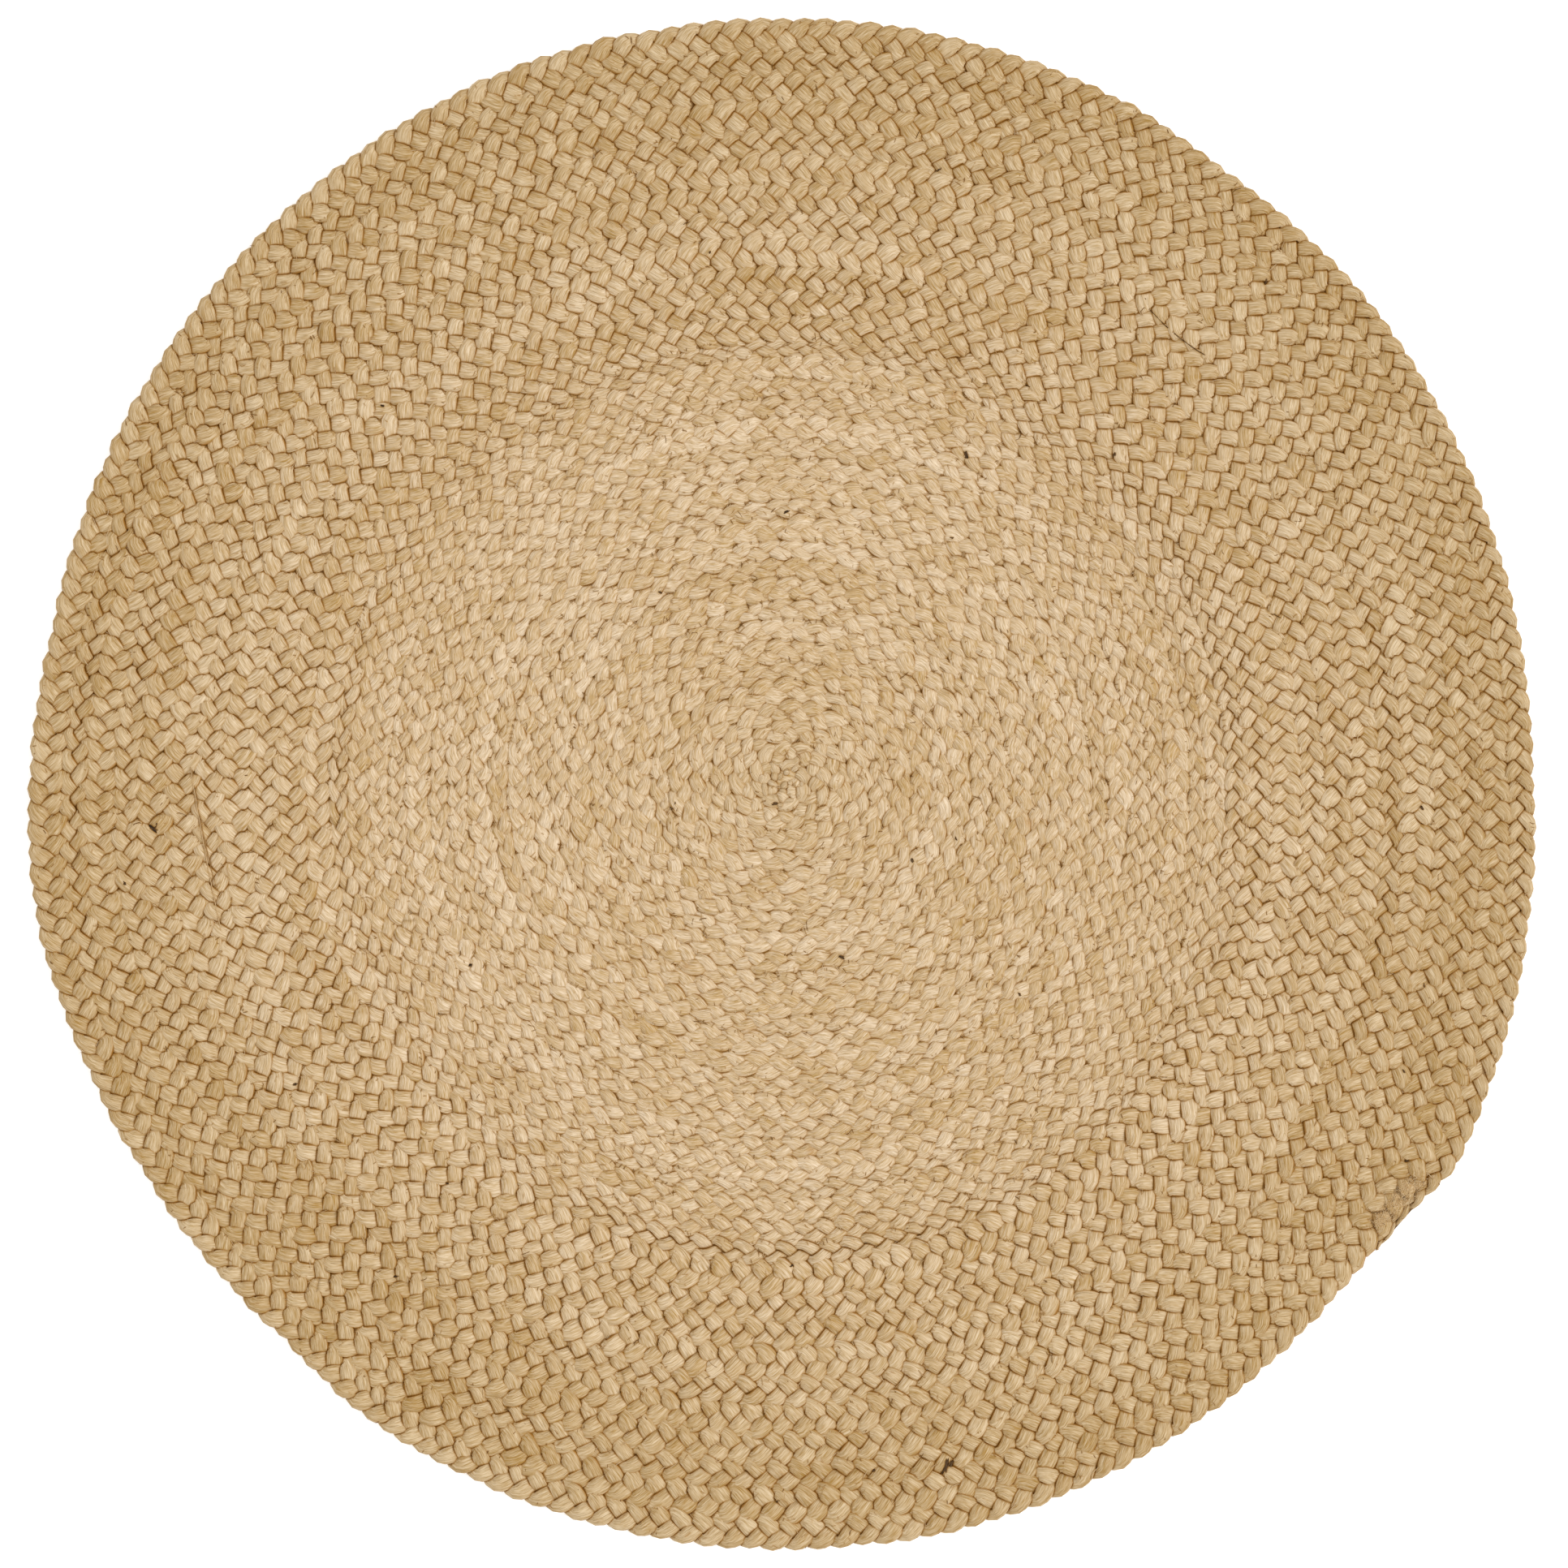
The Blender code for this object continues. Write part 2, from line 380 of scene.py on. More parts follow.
class Coil:
    """The braid's middle line, tabled by the length from the tail."""

    def __init__(self):
        turns = np.linspace(TURNS, FIRST_TURN, int((TURNS - FIRST_TURN) * SAMPLES_PER_TURN))
        outer = edge_radius(turns)
        inner = np.where(turns < 1, START_RADIUS * turns**2, edge_radius(np.maximum(turns - 1, 0)))
        taper = np.clip((TURNS - turns) * 360 / TAIL_TAPER, TAIL_WIDTH, 1)
        outer = inner + (outer - inner) * taper
        self.turns = turns
        self.radius = (inner + outer) / 2
        self.width = outer - inner
        angle = self.angle_at(turns)
        line = np.stack([self.radius * np.cos(angle), self.radius * np.sin(angle)], 1)
        steps = np.linalg.norm(np.diff(line, axis=0), axis=1)
        self.length = np.concatenate([[0], np.cumsum(steps)])
        self.total = self.length[-1]

    def angle_at(self, turns):
        return -np.radians(TAIL_BEARING) - math.tau * turns

    def read(self, along, name):
        """The turns, radius or width at these lengths along the braid."""
        return np.interp(along, self.length, getattr(self, name))

    def place(self, along, across, height):
        """Points from lengths along the braid, distances outwards across it, and heights."""
        angle = self.angle_at(self.read(along, "turns"))
        radius = self.read(along, "radius") + across
        x = COIL_CENTRE[0] + radius * np.cos(angle)
        y = COIL_CENTRE[1] + radius * np.sin(angle)
        return np.stack([x, y, height + 0 * x], -1)


def lobe_rate(coil):
    """How fast lobes follow each other along the coil, as a share of their usual rate."""
    crowding = START_CROWDING * np.exp((coil.length - coil.total) / START_CROWDING_REACH)
    stretch = INNER_STRETCH * np.interp(coil.turns, ZONE_TURNS[:2], (1, 0))
    return 1 + change(coil.length, RATE_CHANGE) + crowding - stretch


def strand_path(coil, number):
    """How far along the braid each ring of a strand is, and its phase, which grows by pi with each lobe."""
    rate = lobe_rate(coil)
    steps = np.diff(coil.length) * (rate[1:] + rate[:-1]) / 2
    phase = np.concatenate([[0], np.cumsum(steps)]) * math.tau / BRAID_PERIOD
    lobes = int(phase[-1] / math.pi)
    even = np.arange(lobes * RINGS_PER_LOBE + 1) / RINGS_PER_LOBE * math.pi
    swing = even - RING_BIAS / 2 * np.sin(2 * (even + RING_BIAS_LEAD))
    behind = number * math.tau / STRANDS
    swing = swing[swing > behind]
    return np.interp(swing - behind, phase, coil.length), swing


def by_zone(zone, values):
    """A value for each ring, from those of the three zones."""
    return np.interp(zone, (0, 1, 2), values)


def braid_thickness(zone, turns):
    thick = INNER_CROWN + (OUTER_CROWN - INNER_CROWN) * np.clip(zone - 1, 0, 1)
    in_tail = 1 - np.clip((TURNS - turns) * 360 / TAIL_TAPER, 0, 1)
    return thick + (TAIL_CROWN - thick) * in_tail


def sweep(line, half_width, half_thickness, roll, uneven):
    """Rings of a strand's section along a line, square to it and rolled about it."""
    forward = np.gradient(line, axis=0)
    forward /= np.linalg.norm(forward, axis=1)[:, None]
    side = np.cross([0, 0, 1.0], forward)
    side /= np.linalg.norm(side, axis=1)[:, None]
    up = np.cross(forward, side)
    shares = np.array(SECTION)
    wide = half_width[:, None] * shares[:, 0] * uneven
    high = half_thickness[:, None] * shares[:, 1] * uneven
    cos, sin = np.cos(roll)[:, None], np.sin(roll)[:, None]
    sideways = (wide * cos - high * sin)[..., None]
    upwards = (wide * sin + high * cos)[..., None]
    return line[:, None] + side[:, None] * sideways + up[:, None] * upwards


class Strand:
    """One strand of the braid, as rings of points from the tail to the centre.

    Each ring has its length along the braid, a count of lobes, how far down it lies (from -1 on top of
    the others to 1 under them), and whether it is on the rim's side of the last row (1) or not (0).
    """

    def __init__(self, coil, number):
        self.number = number
        self.along, swing = strand_path(coil, number)
        self.lobe = swing / math.pi + number * LOBES_APART
        phase = swing + change(self.lobe, PHASE_CHANGE)
        half = coil.read(self.along, "width") / 2
        turns = coil.read(self.along, "turns")
        zone = np.interp(turns + change(self.along, ZONE_CHANGE), ZONE_TURNS, (0, 1, 1, 2))
        thick = braid_thickness(zone, turns)

        zigzag = np.sin(phase) - by_zone(zone, SWING_SHARPNESS) * np.sin(3 * phase)
        across = half * (by_zone(zone, SWING) * zigzag + change(self.lobe, ACROSS_CHANGE))
        lift = by_zone(zone, LIFT) * (1 + change(self.lobe, LIFT_CHANGE))
        self.down = np.sin(2 * phase + by_zone(zone, LIFT_LEAD))
        height = thick * (0.5 - lift * self.down + change(self.lobe, HEIGHT_CHANGE))

        self.at_rim = np.clip((turns - TURNS + 1) * RIM_FADE, 0, 1) * (zigzag > 0)
        turning = 0.5 - 0.5 * np.cos(2 * (phase - by_zone(zone, WIDTH_LAG)))
        at_edge = by_zone(zone, EDGE_HALF_WIDTH)
        at_edge = at_edge * (1 - self.at_rim) + RIM_EDGE_HALF_WIDTH * self.at_rim
        width_share = at_edge * turning + by_zone(zone, LOBE_HALF_WIDTH) * (1 - turning)
        cut = np.sqrt(np.clip((self.along + CUT_START) / CUT_LENGTH, 0, 1))
        half_width = half * width_share * (1 + change(self.lobe, WIDTH_CHANGE)) * cut

        line = np.stack([self.along, across, height], 1)
        roll = change(self.lobe, ROLL_CHANGE)
        uneven = 1 + np.stack([change(self.lobe, noise) for noise in SECTION_CHANGES], 1)
        straight = sweep(line, half_width, thick * HALF_THICKNESS * cut, roll, uneven)
        self.rings = coil.place(straight[..., 0], straight[..., 1], np.maximum(straight[..., 2], FLOOR_GAP))

    def stretch(self, piece):
        """The rings of one piece of the braid, up to and with the first ring of the next."""
        count = len(self.along)
        cuts = [int(count * k / PIECES) // RINGS_PER_LOBE * RINGS_PER_LOBE for k in range(PIECES)]
        cuts.append(count - 1)
        return slice(cuts[piece], cuts[piece + 1] + 1)


def photo_place(x, y):
    """The place on the floor that a pixel of the photograph shows."""
    return np.array([(x - PHOTO_MIDDLE) * PIXEL, (PHOTO_MIDDLE - y) * PIXEL])


class Surface:
    """The height of the top of the strands over a grid of the floor."""

    REACH = 0.64
    CELL = 0.0012
    TOP = (3, 4, 5, 6, 0)  # points of a strand's section
    STEPS_ALONG = 3  # from one ring to the next
    STEPS_ROUND = 5  # from one point of a ring to the next
    LEAST = 0.001  # lower cells are empty, and take the height of the highest beside them

    def __init__(self, strands):
        self.count = int(2 * self.REACH / self.CELL) + 1
        height = np.zeros(self.count**2)
        for strand in strands:
            top = strand.rings[:, self.TOP]
            for i in range(self.STEPS_ALONG):
                ring = top[:-1] + (top[1:] - top[:-1]) * i / self.STEPS_ALONG
                for j in range(self.STEPS_ROUND):
                    p = ring[:, :-1] + (ring[:, 1:] - ring[:, :-1]) * j / self.STEPS_ROUND
                    np.maximum.at(height, self.cell(p[..., 0], p[..., 1]).ravel(), p[..., 2].ravel())
        grid = height.reshape(self.count, self.count)
        empty = grid < self.LEAST
        around = [np.roll(grid, shift, axis) for axis in (0, 1) for shift in (-1, 1)]
        grid[empty] = np.max(around, axis=0)[empty]
        self.height = grid.ravel()

    def cell(self, x, y):
        """The numbers of the cells at these places."""
        column = np.clip((x + self.REACH) / self.CELL, 0, self.count - 1).astype(int)
        row = np.clip((y + self.REACH) / self.CELL, 0, self.count - 1).astype(int)
        return row * self.count + column

    def read(self, x, y):
        return self.height[self.cell(x, y)]


def laid_paths(surface, start, heading, bend, length, points, clear=FIBRE_CLEARANCE):
    """Paths of fibres that lie on the surface, as an array of (fibre, point, 3)."""
    steps = np.arange(points - 1) / (points - 1)
    turned = heading[:, None] + bend[:, None] * (steps - 0.5)
    move = np.stack([np.cos(turned), np.sin(turned)], -1) * (length / (points - 1))[:, None, None]
    flat = np.concatenate([start[:, None], start[:, None] + np.cumsum(move, 1)], 1)
    flat -= (flat[:, -1:] - flat[:, :1]) / 2
    under = surface.read(flat[..., 0], flat[..., 1])
    share = np.arange(points) / (points - 1)
    chord = under[:, :1] * (1 - share) + under[:, -1:] * share
    height = np.maximum(under, chord - FIBRE_SAG) + clear
    height[:, [0, -1]] = np.maximum(under[:, [0, -1]] - FIBRE_SAG, FLOOR_GAP)
    return np.concatenate([flat, height[..., None]], -1)


def spindle_mesh(paths, radius):
    """Points and triangles of closed three-sided fibres with pointed ends."""
    count, points = paths.shape[:2]
    forward = np.gradient(paths, axis=1)[:, 1:-1]
    side = np.stack([-forward[..., 1], forward[..., 0]], -1)
    side /= np.maximum(np.linalg.norm(side, axis=-1), 1e-9)[..., None]
    rings = np.repeat(paths[:, 1:-1, None], 3, 2)
    for corner, (across, up) in enumerate(FIBRE_SECTION):
        rings[:, :, corner, :2] += side * (across * radius)[:, None, None]
        rings[:, :, corner, 2] += (up * radius)[:, None]
    vertices = np.concatenate([paths[:, :1], rings.reshape(count, -1, 3), paths[:, -1:]], 1)
    last = 3 * (points - 2) + 1
    tris = [(0, 1 + (k + 1) % 3, 1 + k) for k in range(3)]
    for ring in range(points - 3):
        for k in range(3):
            a, b = 1 + 3 * ring + k, 1 + 3 * ring + (k + 1) % 3
            tris += [(a, b, b + 3), (a, b + 3, a + 3)]
    tris += [(last, last - 3 + k, last - 3 + (k + 1) % 3) for k in range(3)]
    offsets = np.arange(count)[:, None, None] * (last + 1)
    return vertices.reshape(-1, 3), (np.array(tris)[None] + offsets).reshape(-1, 3)


def section_shares():
    """How far round a strand's section each of its points is, from 0 to 1."""
    points = np.array(SECTION + SECTION[:1]) * [1, SECTION_ASPECT]
    steps = np.linalg.norm(np.diff(points, axis=0), axis=1)
    return np.concatenate([[0], np.cumsum(steps)]) / steps.sum()


def tube_faces(rings, sides):
    """Quads of a tube and the triangles that close its two ends, as point numbers."""
    i = np.arange(rings - 1)[:, None] * sides
    j = np.arange(sides)[None, :]
    k = (j + 1) % sides
    quads = np.stack([i + j, i + k, i + sides + k, i + sides + j], -1).reshape(-1, 4)
    fan = np.array([[0, n + 1, n] for n in range(1, sides - 1)])
    return quads, np.concatenate([fan, fan[:, ::-1] + (rings - 1) * sides])


def tube_uv(along, sides):
    """UVs of a tube's quads: the place along the strand in metres, and the share of the way round it."""
    shares = section_shares()
    n = len(along)
    v0 = np.broadcast_to(shares[None, :-1], (n - 1, sides))
    v1 = np.broadcast_to(shares[None, 1:], (n - 1, sides))
    u0 = np.broadcast_to(along[:-1, None], (n - 1, sides))
    u1 = np.broadcast_to(along[1:, None], (n - 1, sides))
    corners = [np.stack(c, -1) for c in ((u0, v0), (u0, v1), (u1, v1), (u1, v0))]
    return np.stack(corners, 2).reshape(-1, 2)


def tube(rings, along):
    """Points, quads, end triangles and UVs of a tube."""
    count, sides = rings.shape[:2]
    return rings.reshape(-1, 3), *tube_faces(count, sides), tube_uv(along, sides)


def joined(tubes):
    """Points, quads, triangles and UVs of one mesh from those of several tubes."""
    points, quads, tris, uvs = zip(*tubes)
    bases = np.cumsum([0, *map(len, points[:-1])])
    quads = [faces + base for faces, base in zip(quads, bases)]
    tris = [faces + base for faces, base in zip(tris, bases)]
    return [np.concatenate(arrays) for arrays in (points, quads, tris, uvs)]


def new_mesh(name, points, quads, tris, uv=None, values=None):
    """A smooth mesh object from arrays. The UVs are for the quads' corners alone."""
    mesh = bpy.data.meshes.new(name)
    mesh.vertices.add(len(points))
    mesh.vertices.foreach_set("co", points.astype(np.float32).ravel())
    corners = np.concatenate([quads.ravel(), tris.ravel()]).astype(np.int32)
    totals = np.concatenate([np.full(len(quads), 4), np.full(len(tris), 3)]).astype(np.int32)
    mesh.loops.add(len(corners))
    mesh.loops.foreach_set("vertex_index", corners)
    mesh.polygons.add(len(totals))
    mesh.polygons.foreach_set("loop_start", np.concatenate([[0], np.cumsum(totals)[:-1]]).astype(np.int32))
    mesh.polygons.foreach_set("loop_total", totals)
    mesh.polygons.foreach_set("use_smooth", np.ones(len(totals), dtype=bool))
    mesh.update(calc_edges=True)
    if uv is not None:
        layer = mesh.uv_layers.new(name="strand")
        uv = np.concatenate([uv, np.zeros((tris.size, 2))])
        layer.data.foreach_set("uv", uv.astype(np.float32).ravel())
    for key, value in (values or {}).items():
        attribute = mesh.attributes.new(key, "FLOAT", "POINT")
        attribute.data.foreach_set("value", value.astype(np.float32).ravel())
    mesh.validate()
    obj = bpy.data.objects.new(name, mesh)
    bpy.context.scene.collection.objects.link(obj)
    return obj


def outward_share(radius):
    """From 0 in the paler inner rows to 1 near the rim, and a little higher again round the coil's start."""
    start = START_TONE * np.exp(-((radius / START_TONE_SIZE) ** 2))
    return np.interp(radius, OUTER_TONE_RADII, (0, 1)) + start


def stain_share(points):
    """How much of the ochre stain shows at these points."""
    stain = np.zeros(points.shape[:-1])
    for spot in OCHRE_SPOTS:
        off = points[..., :2] - photo_place(*spot)
        stain += np.exp(-(off**2).sum(-1) / OCHRE_SIZE**2)
    return np.clip(stain, 0, 1)


def flank_shade_share(strand):
    """Painted shade, high where a strand meets its neighbours.

    That is along its two sides, on its top where it dives under them, and on its underside where it rises.
    """
    up = np.array([height for _, height in SECTION])
    sides = np.select([up == 0, (up > 0) & (up < 1)], [1.0, SHOULDER_SHADE], 0.0)
    dive = DIVE_SHADE * np.clip((strand.down[:, None] * np.sign(up) - DIVE_FROM) / (1 - DIVE_FROM), 0, 1)
    return np.maximum(sides, dive) * (1 - RIM_BARE * strand.at_rim[:, None])


def strand_tones(strand):
    """Values at a strand's points that its material reads."""
    tail = np.mean([photo_place(*pixel) for pixel in TAIL_LINE], 0)
    off_tail = ((strand.rings[..., :2] - tail) ** 2).sum(-1)
    each_point = np.ones(len(SECTION))
    patch = change(strand.along, SMALL_PATCHES[strand.number]) + change(strand.along, LARGE_PATCHES)
    return {
        "stain": stain_share(strand.rings),
        # painted shade where the strand meets its neighbours
        "painted_flank_shade": flank_shade_share(strand),
        "matted": np.exp(-off_tail / TAIL_SIZE**2),
        "lobe": np.outer(table_value(np.floor(strand.lobe + LOBE_TONE_START), LOBE_TONE_SEED), each_point),
        "patch": np.outer(patch, each_point),
        "outwards": outward_share(np.hypot(strand.rings[..., 0], strand.rings[..., 1])),
    }


def braid_pieces(strands, material):
    """The braid in pieces that follow each other, each with its stretch of all three strands."""
    tones = [strand_tones(strand) for strand in strands]
    pieces = []
    for part in range(PIECES):
        runs = [strand.stretch(part) for strand in strands]
        tubes = []
        for strand, run in zip(strands, runs):
            tubes.append(tube(strand.rings[run], strand.along[run] + strand.number * UV_APART))
        values = {}
        for key in tones[0]:
            values[key] = np.concatenate([tone[key][run].ravel() for tone, run in zip(tones, runs)])
        piece = new_mesh(f"braid_{part + 1}", *joined(tubes), values)
        piece.data.materials.append(material)
        pieces.append(piece)
    return pieces


def core_piece(coil, material):
    """A flat closed tube that follows the whole coil inside the braid, dark as painted shade between the
    strands.
    """
    last = TURNS - 1 / SAMPLES_PER_TURN
    steps = int((last - FIRST_TURN) * CORE_STEPS_PER_TURN)
    along = np.interp(-np.linspace(last, FIRST_TURN, steps), -coil.turns, coil.length)
    half = coil.read(along, "width") / 2
    turns = coil.read(along, "turns")
    reach = np.where(turns > TURNS - 1, RIM_CORE_HALF_WIDTH, CORE_HALF_WIDTH)
    thick = np.where(turns > INNER_TURNS, OUTER_CROWN, INNER_CROWN)
    shares = np.array(CORE_SECTION)
    rings = coil.place(along[:, None], (half * reach)[:, None] * shares[:, 0], thick[:, None] * shares[:, 1])
    quads, tris = tube_faces(len(along), len(CORE_SECTION))
    outwards = np.repeat(outward_share(coil.read(along, "radius")), len(CORE_SECTION))
    core = new_mesh("braid_core_shade", rings.reshape(-1, 3), quads, tris, values={"outwards": outwards})
    core.data.materials.append(material)
    return core


def knot_rings(lobe, bend, height, half_thickness):
    """Rings of one lobe of the knot, thickest in its middle."""
    x, y, heading, length, width = lobe
    share = np.linspace(0, 1, KNOT_RINGS)
    swell = np.sin(math.pi * np.clip(share, *KNOT_ENDS)) ** KNOT_BLUNTNESS
    turned = bend * (share - 0.5) - math.radians(heading)
    forward = np.stack([np.cos(turned), np.sin(turned)], 1)
    side = np.stack([-np.sin(turned), np.cos(turned)], 1)
    line = np.cumsum(forward * length * PIXEL / (KNOT_RINGS - 1), 0)
    line += photo_place(x, y) - line.mean(0)
    across, up = np.transpose(SECTION)
    half_width = swell * width * PIXEL / 2
    flat = line[:, None] + side[:, None] * np.outer(half_width, across)[..., None]
    top = height + half_thickness * np.outer(swell, up)
    return np.concatenate([flat, top[..., None]], -1)


def start_knot(material):
    """Short folded lobes over a flat plug, which fill the middle of the coil."""
    rng = np.random.default_rng(KNOT_SEED)
    rings = [knot_rings(START_PLUG, 0, PLUG_HEIGHT, PLUG_HALF_THICKNESS)]
    tones = [PLUG_TONE]
    for lobe in START_LOBES:
        rings.append(knot_rings(lobe, KNOT_BEND, rng.uniform(*KNOT_HEIGHTS), KNOT_HALF_THICKNESS))
        tones.append(rng.uniform(*KNOT_TONES))

    tubes = []
    for k, (_, _, _, length, _) in enumerate((START_PLUG, *START_LOBES)):
        along = KNOT_UV_START + k + np.linspace(0, length * PIXEL, KNOT_RINGS)
        tubes.append(tube(rings[k], along))
    lobe = np.repeat(tones, KNOT_RINGS * len(SECTION))
    zeros = np.zeros(len(lobe))
    outwards = zeros + KNOT_OUTWARDS
    values = {"lobe": lobe, "patch": zeros, "outwards": outwards, "stain": zeros, "painted_flank_shade": zeros}
    knot = new_mesh("start_knot", *joined(tubes), values)
    knot.data.materials.append(material)
    return knot


def between(rng, limits, count):
    """Random values between two limits."""
    return rng.uniform(limits[0], limits[1], count)


def loose_fibres(coil, surface, rng, kind, usual, reach):
    """Paths and shades of one kind of loose fibre on the stretch of the braid that reach gives.

    usual is the angle that they have to the row, turned the other way on the row's inner side.
    """
    count, shares, spread, lengths, bend, shades = kind
    along = coil.total * between(rng, reach, count)
    side = np.sign(rng.uniform(-1, 1, count))
    across = side * between(rng, shares, count) * coil.read(along, "width") / 2
    start = coil.place(along, across, 0.0)[:, :2]
    tangent = coil.angle_at(coil.read(along, "turns")) + math.pi / 2
    heading = tangent + side * usual + rng.normal(0, spread, count)
    bends = rng.normal(0, bend, count)
    paths = laid_paths(surface, start, heading, bends, between(rng, lengths, count), FIBRE_POINTS)
    return paths, between(rng, shades, count)


def on_rug(paths, radius, shade):
    """The fibres without those that would lie on the floor beside the rug."""
    kept = paths[..., 2].min(1) > LOWEST_ON_RUG
    return paths[kept], radius[kept], shade[kept]


def row_fibres(coil, surface, rng):
    """Loose fibres on the rows, as groups of (paths, radius, shade)."""
    everywhere = (0, 1)
    inner_rows = (coil.length[np.searchsorted(-coil.turns, -INNER_TURNS)] / coil.total, 1)
    kinds = (
        (SEAM_FIBRES, math.pi / 2, everywhere),
        (LOBE_FIBRES, math.pi / 4, everywhere),
        (STRAY_FIBRES, 0, everywhere),
        (MATTED_FIBRES, 0, inner_rows),
    )
    groups = []
    for kind, usual, reach in kinds:
        paths, shade = loose_fibres(coil, surface, rng, kind, usual, reach)
        groups.append(on_rug(paths, between(rng, FIBRE_RADIUS, len(paths)), shade))
    return groups


def tail_fibres(surface, rng):
    """Matted fibres and stitches over the tail's end, as groups of (paths, radius, shade)."""
    first, last = (photo_place(*pixel) for pixel in TAIL_LINE)
    run = last - first
    groups = []
    for count, scatter, lengths, shades, radii in (TAIL_FIBRES, TAIL_STITCHES):
        start = first + run * rng.random(count)[:, None] + rng.normal(0, scatter, (count, 2))
        heading = np.arctan2(run[1], run[0]) + rng.normal(0, TAIL_SPREAD, count)
        bends = rng.normal(0, TAIL_BEND, count)
        paths = laid_paths(surface, start, heading, bends, between(rng, lengths, count), FIBRE_POINTS)
        groups.append(on_rug(paths, between(rng, radii, count), between(rng, shades, count)))
    return groups


def threads(surface):
    """Stray threads, as groups of (path, radius, shade) with one thread in each."""
    groups = []
    for x0, y0, x1, y1, bend, radius, shade in THREADS:
        first, last = photo_place(x0, y0), photo_place(x1, y1)
        run = last - first
        length = np.hypot(*run)
        points = int(length / THREAD_STEP) + 3
        thread = ((first + last) / 2, np.arctan2(run[1], run[0]), bend, length)
        path = laid_paths(surface, *(np.array([value]) for value in thread), points)
        groups.append((path, np.array([radius]), np.array([shade])))
    return groups


def flecks(surface, rng):
    """Slivers of bark, as groups of (paths, radius, shade)."""
    spots = np.array(BARK_FLECKS, float)
    start = photo_place(spots[:, 0], spots[:, 1]).T
    outward = np.arctan2(start[:, 1], start[:, 0])
    lean = rng.choice(FLECK_LEANS, len(spots))
    groups = []
    for share in FLECK_SLIVERS:
        heading = outward + lean + rng.normal(0, FLECK_SPREAD, len(spots))
        length = spots[:, 2] * PIXEL * between(rng, FLECK_LENGTHS, len(spots))
        moved = start + rng.normal(0, FLECK_SCATTER, start.shape) * (share < FLECK_SLIVERS[0])
        bends = rng.normal(0, FLECK_BEND, len(spots))
        path = laid_paths(surface, moved, heading, bends, length, FLECK_POINTS, clear=FLECK_CLEARANCE)
        radius = FLECK_LEAST_RADIUS + FLECK_WIDTH * share * length
        groups.append((path, radius, between(rng, FLECK_SHADES, len(spots))))
    return groups


def fibre_piece(name, groups, material):
    """One piece from groups of (paths, radius, shade)."""
    points, tris, shades, base = [], [], [], 0
    for paths, radius, shade in groups:
        p, t = spindle_mesh(paths, radius)
        points.append(p)
        tris.append(t + base)
        shades.append(np.repeat(shade, len(p) // len(paths)))
        base += len(p)
    values = {"shade": np.concatenate(shades)}
    no_quads = np.empty((0, 4), int)
    piece = new_mesh(name, np.concatenate(points), no_quads, np.concatenate(tris), values=values)
    piece.data.materials.append(material)
    return piece


def fibre_pieces(coil, surface, material):
    rng = np.random.default_rng(FIBRE_SEED)
    fibres = row_fibres(coil, surface, rng) + tail_fibres(surface, rng)
    return [
        fibre_piece("loose_fibres", fibres, material),
        fibre_piece("stray_threads", threads(surface), material),
        fibre_piece("bark_flecks", flecks(surface, rng), material),
    ]


def node(tree, kind, **values):
    new = tree.nodes.new(kind)
    for key, value in values.items():
        setattr(new, key, value)
    return new


def feed(tree, socket, value):
    """Set a socket to a number or colour, or link it to another node's output."""
    if isinstance(value, (int, float, tuple)):
        socket.default_value = value
    else:
        tree.links.new(value, socket)


def maths(tree, operation, *values):
    n = node(tree, "ShaderNodeMath", operation=operation)
    for socket, value in zip(n.inputs, values):
        feed(tree, socket, value)
    return n.outputs[0]


def times(tree, a, b):
    return maths(tree, "MULTIPLY", a, b)


def total(tree, *values):
    out = values[0]
    for value in values[1:]:
        out = maths(tree, "ADD", out, value)
    return out


def mix_colour(tree, factor, a, b):
    n = node(tree, "ShaderNodeMix", data_type="RGBA")
    for socket, value in ((n.inputs[0], factor), (n.inputs[6], a), (n.inputs[7], b)):
        feed(tree, socket, value)
    return n.outputs[2]


def ramp(tree, x, low, high, to_low=0.0, to_high=1.0):
    n = node(tree, "ShaderNodeMapRange")
    for socket, value in zip(n.inputs, (x, low, high, to_low, to_high)):
        feed(tree, socket, value)
    return n.outputs[0]


def attribute(tree, name):
    return node(tree, "ShaderNodeAttribute", attribute_name=name).outputs["Fac"]


def streaks(tree, along, across, detail):
    """Noise drawn out along the strand, with this many grains a metre along it and once round it."""
    uv = node(tree, "ShaderNodeUVMap", uv_map="strand").outputs[0]
    stretch = node(tree, "ShaderNodeMapping")
    stretch.inputs["Scale"].default_value = (along, across, 1.0)
    tree.links.new(uv, stretch.inputs["Vector"])
    n = node(tree, "ShaderNodeTexNoise", noise_dimensions="2D")
    n.inputs["Scale"].default_value = 1.0
    n.inputs["Detail"].default_value = detail
    tree.links.new(stretch.outputs[0], n.inputs["Vector"])
    return n.outputs["Fac"]


def grains(tree, scale):
    """Even noise with this many grains a metre."""
    n = node(tree, "ShaderNodeTexNoise")
    n.inputs["Scale"].default_value = scale
    return n.outputs["Fac"]


def new_material(name):
    """A material, its node tree and its shader."""
    material = bpy.data.materials.new(name)
    material.use_nodes = True
    tree = material.node_tree
    return material, tree, tree.nodes["Principled BSDF"]


